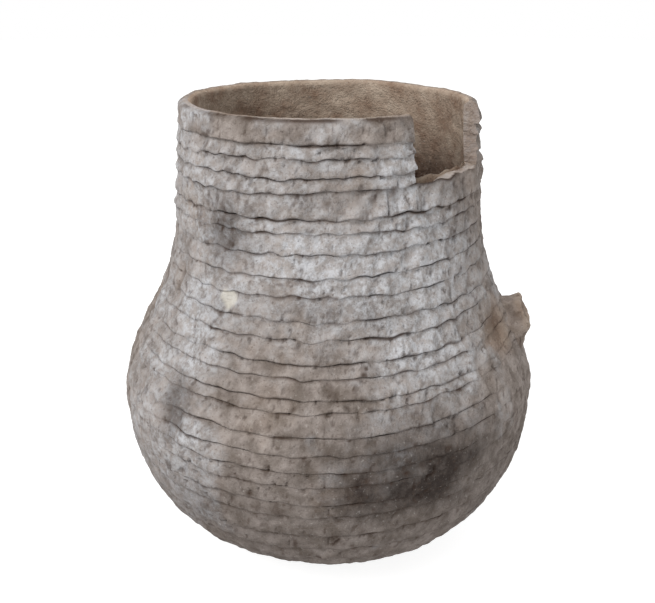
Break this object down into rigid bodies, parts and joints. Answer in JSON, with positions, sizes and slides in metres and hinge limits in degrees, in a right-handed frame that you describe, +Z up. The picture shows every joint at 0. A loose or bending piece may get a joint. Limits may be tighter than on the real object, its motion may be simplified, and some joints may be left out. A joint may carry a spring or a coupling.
{
  "type": "corrugated pottery jar",
  "caption": "Round-bellied cooking jar of coiled clay ropes left corrugated outside, with a wide neck, a plain rim band, a missing rim sherd and a broken lug.",
  "frame": {"origin": "centre of the flat foot's underside, on the jar's axis", "axes": "+Z up along the jar's axis to the rim; -Y is the front, and the missing rim sherd is to the front and right, towards +X"},
  "size_m": [0.1964, 0.1964, 0.207],
  "materials": {
    "foot_clay": "matte, sooted, gritty fired clay",
    "belly_clay": "matte, gritty fired clay with fire clouds",
    "shoulder_clay": "matte, worn fired clay with a thin mineral film",
    "neck_clay": "matte fired clay under a chalky mineral film",
    "rim_clay": "matte, smoothed fired clay",
    "lug_clay": "matte, broken and stained fired clay"
  },
  "bodies": {
    "root": {"base_disc": "foot_clay", "clay_rope_01": "belly_clay", "clay_rope_02": "belly_clay", "clay_rope_03": "belly_clay", "clay_rope_04": "belly_clay", "clay_rope_05": "belly_clay", "clay_rope_06": "belly_clay", "clay_rope_07": "belly_clay", "clay_rope_08": "belly_clay", "clay_rope_09": "belly_clay", "clay_rope_10": "belly_clay", "clay_rope_11": "belly_clay", "clay_rope_12": "belly_clay", "clay_rope_13": "belly_clay", "clay_rope_14": "shoulder_clay", "clay_rope_15": "shoulder_clay", "clay_rope_16": "shoulder_clay", "clay_rope_17": "shoulder_clay", "clay_rope_18": "neck_clay", "clay_rope_19": "neck_clay", "clay_rope_20": "neck_clay", "clay_rope_21": "neck_clay", "clay_rope_22": "neck_clay", "clay_rope_23": "neck_clay", "clay_rope_24": "neck_clay", "clay_rope_25": "neck_clay", "clay_rope_26": "neck_clay", "rim_band": "rim_clay", "lug_stump": "lug_clay"}
  },
  "joints": []
}
